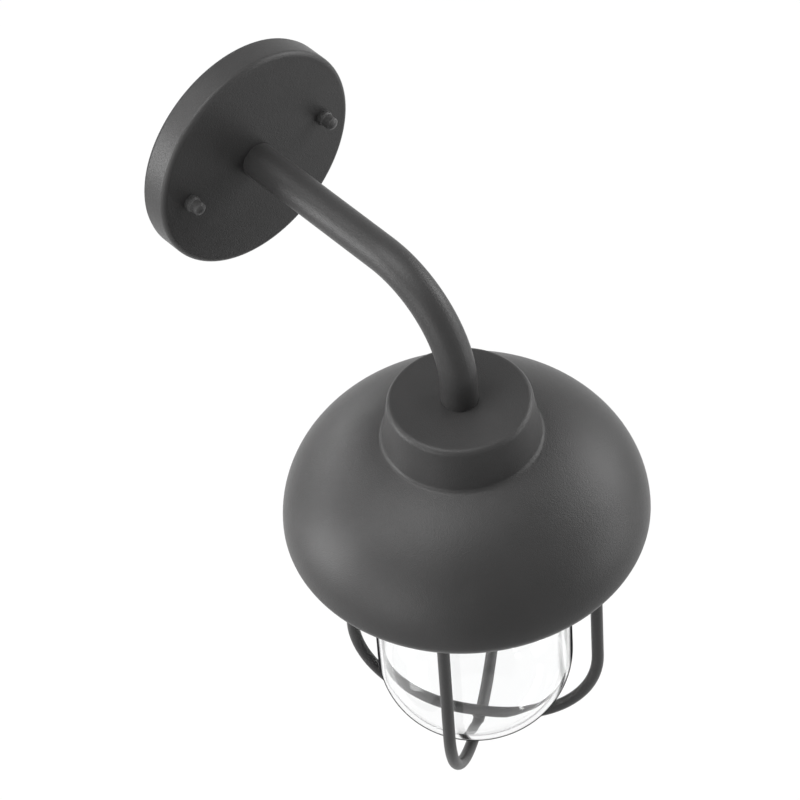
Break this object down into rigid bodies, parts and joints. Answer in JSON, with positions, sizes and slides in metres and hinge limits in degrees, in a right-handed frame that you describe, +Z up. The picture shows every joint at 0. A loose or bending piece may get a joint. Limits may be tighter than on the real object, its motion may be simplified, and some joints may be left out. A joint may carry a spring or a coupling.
{
  "type": "outdoor wall light",
  "caption": "Outdoor wall light: round wall plate, bent tube arm, spun dome shade with a flat-topped neck, clear round-bottomed glass jar and a crossed wire guard.",
  "frame": {"origin": "centre of the round wall plate in the plane of the wall, which is the centre of the two junction box slots", "axes": "+Y into the wall, -Y out from the wall along the arm, +Z up, +X to the right of someone facing the wall"},
  "size_m": [0.204, 0.279, 0.4145],
  "materials": {
    "powder_coat": "satin charcoal powder coat with a fine texture",
    "powder_coat_small": "satin charcoal powder coat on small turned parts",
    "guard_screw_metal": "dark painted knurled screws",
    "zinc_steel": "zinc plated steel",
    "cast_aluminium": "as-cast aluminium",
    "shell_brass": "thin pressed brass",
    "porcelain": "white glazed porcelain",
    "clear_glass": "clear pressed glass",
    "pale_silicone": "soft translucent silicone",
    "black_rubber": "black rubber",
    "black_foam": "closed cell foam",
    "black_lead": "black wire insulation",
    "white_lead": "white wire insulation",
    "green_lead": "green wire insulation",
    "green_screw": "green painted screw",
    "orange_plastic": "moulded orange plastic"
  },
  "bodies": {
    "lamp": {"mounting_bracket": "zinc_steel", "bracket_studs": "zinc_steel", "stud_locknuts": "zinc_steel", "ground_screw": "green_screw", "ground_lead": "green_lead", "plate_gasket": "black_foam", "wall_plate": "powder_coat", "arm_tube": "powder_coat", "arm_plugs": "zinc_steel", "arm_seals": "black_rubber", "plate_nipple": "zinc_steel", "shade_nipple": "zinc_steel", "tooth_washers": "zinc_steel", "arm_locknuts": "zinc_steel", "shade": "powder_coat", "fitter": "cast_aluminium", "fitter_locknuts": "zinc_steel", "lampholder_body": "porcelain", "screw_shell": "shell_brass", "centre_contact": "shell_brass", "lampholder_screws": "zinc_steel", "lead_live": "black_lead", "lead_neutral": "white_lead", "wire_connectors": "orange_plastic"},
    "left_washer": {"nut_washer_left": "black_rubber"},
    "left_cap_nut": {"cap_nut_left": "powder_coat_small"},
    "right_washer": {"nut_washer_right": "black_rubber"},
    "right_cap_nut": {"cap_nut_right": "powder_coat_small"},
    "jar_seal": {"jar_gasket": "pale_silicone"},
    "jar": {"glass_jar": "clear_glass"},
    "guard": {"guard_ring": "powder_coat", "guard_hoop_front": "powder_coat", "guard_hoop_side": "powder_coat"},
    "front_guard_washer": {"guard_washer_front": "zinc_steel"},
    "front_guard_screw": {"guard_screw_front": "guard_screw_metal"},
    "back_guard_washer": {"guard_washer_back": "zinc_steel"},
    "back_guard_screw": {"guard_screw_back": "guard_screw_metal"}
  },
  "joints": [
    {"name": "left_nut_travel", "type": "slide", "parent": "lamp", "child": "left_washer", "axis": [0, -1, 0], "range_m": [0, 0.0056]},
    {"name": "left_nut_turn", "type": "hinge", "parent": "left_washer", "child": "left_cap_nut", "pos_m": [-0.0475, -0.0178, 0], "axis": [0, -1, 0], "range_deg": [0, 2881]},
    {"name": "right_nut_travel", "type": "slide", "parent": "lamp", "child": "right_washer", "axis": [0, -1, 0], "range_m": [0, 0.0056]},
    {"name": "right_nut_turn", "type": "hinge", "parent": "right_washer", "child": "right_cap_nut", "pos_m": [0.0475, -0.0178, 0], "axis": [0, -1, 0], "range_deg": [0, 2881]},
    {"name": "guard_drop", "type": "slide", "parent": "lamp", "child": "guard", "axis": [0, 0, -1], "range_m": [0, 0.195]},
    {"name": "front_screw_travel", "type": "slide", "parent": "guard", "child": "front_guard_washer", "axis": [0, 0, -1], "range_m": [0, 0.0063]},
    {"name": "front_screw_turn", "type": "hinge", "parent": "front_guard_washer", "child": "front_guard_screw", "pos_m": [-0.01125, -0.24802, -0.14], "axis": [0, 0, -1], "range_deg": [0, 3241]},
    {"name": "back_screw_travel", "type": "slide", "parent": "guard", "child": "back_guard_washer", "axis": [0, 0, -1], "range_m": [0, 0.0063]},
    {"name": "back_screw_turn", "type": "hinge", "parent": "back_guard_washer", "child": "back_guard_screw", "pos_m": [0.01125, -0.10598, -0.14], "axis": [0, 0, -1], "range_deg": [0, 3241]},
    {"name": "jar_travel", "type": "slide", "parent": "lamp", "child": "jar_seal", "axis": [0, 0, -1], "range_m": [0, 0.0049]},
    {"name": "jar_turn", "type": "hinge", "parent": "jar_seal", "child": "jar", "pos_m": [0, -0.177, -0.13], "axis": [0, 0, -1], "range_deg": [0, 540]}
  ],
  "couplings": [
    {"joint": "left_nut_turn", "follows": "left_nut_travel", "rad_per_m": 8976},
    {"joint": "right_nut_turn", "follows": "right_nut_travel", "rad_per_m": 8976},
    {"joint": "front_screw_turn", "follows": "front_screw_travel", "rad_per_m": 8976},
    {"joint": "back_screw_turn", "follows": "back_screw_travel", "rad_per_m": 8976},
    {"joint": "jar_travel", "follows": "jar_turn", "m_per_rad": 0.0005093}
  ]
}
